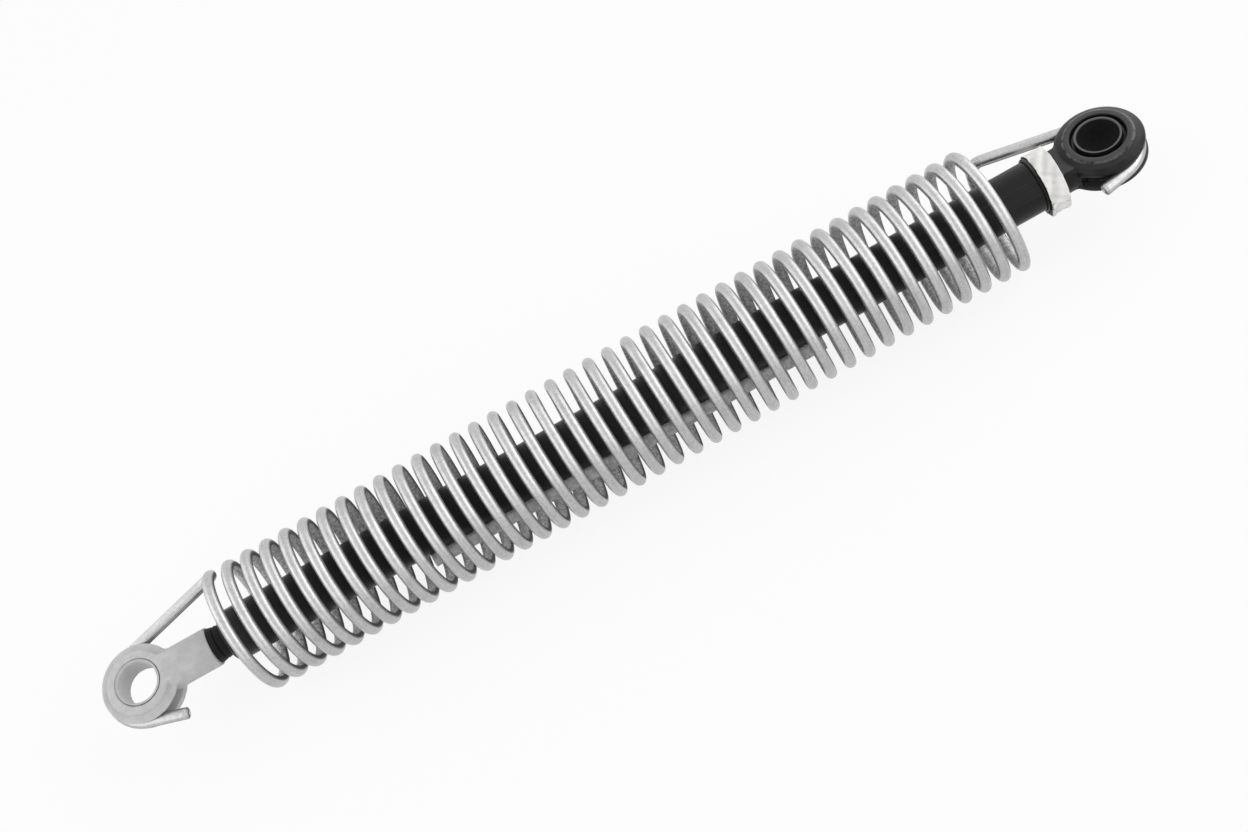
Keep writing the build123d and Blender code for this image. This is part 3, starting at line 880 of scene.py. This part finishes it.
# %% Loft the strip
def strip_outline(x):
    """One ring of the strip: over the top from side to side, then back along the tube."""
    ring = []
    for k in range(strip_outline_steps + 1):
        side = 1 - 2 * k / strip_outline_steps
        loaf = 1 - abs(side) ** loaf_squareness
        place = Vector((x / mm * 0.55, side * 3.0, 2.0))
        lump = lump_depth * noise.noise(place) + small_lump_depth * noise.noise(place * 3.1)
        wave = side_wave * noise.noise(Vector((x / mm * 0.16, 3.0 if side > 0 else 8.0, 5.0)))
        height = loaf * strip_thickness + min(lump, 0.0) * loaf
        angle = side * strip_half_angle * skirt_spread + (wave - side_trim) * side / tube_radius
        ring.append((tube_radius + max(height, thinnest), angle))
    for k in range(1, strip_outline_steps):
        side = -1 + 2 * k / strip_outline_steps
        ring.append((tube_radius + glue_gap, side * strip_half_angle))
    return [Vector((x, r * math.cos(strip_angle + a), r * math.sin(strip_angle + a))) for r, a in ring]


strip_points = []
for k in range(strip_steps + 1):
    strip_points += strip_outline(strip_low.x + strip_length * k / strip_steps)
strip_rows = strip_steps + 1
strip_columns = len(strip_points) // strip_rows
strip_faces = skin(strip_rows, strip_columns, closed=True) + end_caps(strip_rows, strip_columns)
strip_mesh = new_mesh("flocked_strip", strip_points, strip_faces)
strip = make_piece(strip_mesh, "anti_rattle_strip")
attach(strip, "tube")

# %% [markdown]
# ## Floor and world
#
# The strut lies on a pale floor in a pale room. The floor and the world are lifted to white
# only for camera, glossy and transmitted rays, so that the background is white while the
# object keeps its own tones. On the floor the lift isn't complete near the strut, which leaves
# its faint shadow there, and grows to complete before the lamps' light ends.

# %% Rays that see the background
def sees_background(nodes):
    """1 for a camera, glossy or transmission ray, and 0 for any other."""
    camera_ray = nodes.node("LightPath", output="Is Camera Ray")
    glossy_ray = nodes.node("LightPath", output="Is Glossy Ray")
    transmission_ray = nodes.node("LightPath", output="Is Transmission Ray")
    return camera_ray.larger(glossy_ray).larger(transmission_ray)


# %% Floor
floor_size = 30.0
floor_z = cad_low.z
floor_colour = 0.9
floor_lift = 0.88
shadow_reach = 0.35
lift_reach = 0.95
middle_place = Vector(((cad_low.x + cad_high.x) / 2, 0, 0))

paper = bpy.data.materials.new("white_paper")
nodes = Nodes(paper)
ends = {0: nodes.node("TexCoord", output="Object"), 1: (middle_place.x, 0, floor_z)}
from_strut = nodes.node("VectorMath", {"operation": "DISTANCE"}, ends, output="Value")
lift = floor_lift + (1 - floor_lift) * from_strut.band(shadow_reach, lift_reach)
diffuse = nodes.node("BsdfDiffuse", {}, {"Color": (*grey(floor_colour), 1)})
glow = nodes.node("Emission", {}, {"Strength": 1.0})
both = nodes.node("MixShader", {}, {0: sees_background(nodes) * lift, 1: diffuse, 2: glow})
nodes.node("OutputMaterial", {}, {0: both})

half = floor_size / 2
corners = [(-half, -half, floor_z), (half, -half, floor_z), (half, half, floor_z), (-half, half, floor_z)]
floor = bpy.data.objects.new("floor", new_mesh("floor", corners, [(0, 1, 2, 3)]))
bpy.context.scene.collection.objects.link(floor)
floor.data.materials.append(paper)
print("floor at", round(floor_z / mm, 1), "mm")

# %% World
world_level = 0.35
world = bpy.data.worlds.new("studio")
bpy.context.scene.world = world
nodes = Nodes(world)
level = world_level + (1 - world_level) * sees_background(nodes)
sky = nodes.node("Background", {}, {"Color": (*grey(1.0), 1), "Strength": level})
nodes.node("OutputWorld", {}, {0: sky})
bpy.context.scene.view_settings.view_transform = "Standard"
print("world level:", world_level, "on the object, 1 in the background")

# %% [markdown]
# ## Lamps
#
# Nine soft panels make three arches of light over the strut, from front to back. The arches at
# its two ends are strong, and each draws one streak along every turn of the wire, with a
# quieter line between the two. The arch in the middle is weak and only fills the gaps between
# the coils.

# %% Softboxes
panel_distance = 1.0
panel_side = 0.9
panel_powers = {"left": 2.05, "middle": 0.4, "right": 2.9}
panel_spreads = {"left": -52.0, "middle": 0.0, "right": 52.0}
panel_heights = {"front": 25.0, "top": 85.0, "back": 145.0}


def softbox(name, way, power):
    """A square soft panel that stands in one direction from the strut and faces it."""
    data = bpy.data.lights.new(name, "AREA")
    data.shape = "SQUARE"
    data.size = panel_side
    data.energy = power
    lamp = bpy.data.objects.new(name, data)
    bpy.context.scene.collection.objects.link(lamp)
    lamp.location = middle_place + way * panel_distance
    lamp.rotation_mode = "QUATERNION"
    lamp.rotation_quaternion = way.to_track_quat("Z", "Y")


for side, power in panel_powers.items():
    spread = math.radians(panel_spreads[side])
    for height, degrees in panel_heights.items():
        rise = math.radians(degrees)
        across_strut = Vector((0, -math.cos(rise), math.sin(rise))) * math.cos(spread)
        way = across_strut + Vector((math.sin(spread), 0, 0))
        softbox(side + "_" + height + "_softbox", way, power)
print("softboxes:", len(panel_powers) * len(panel_heights))
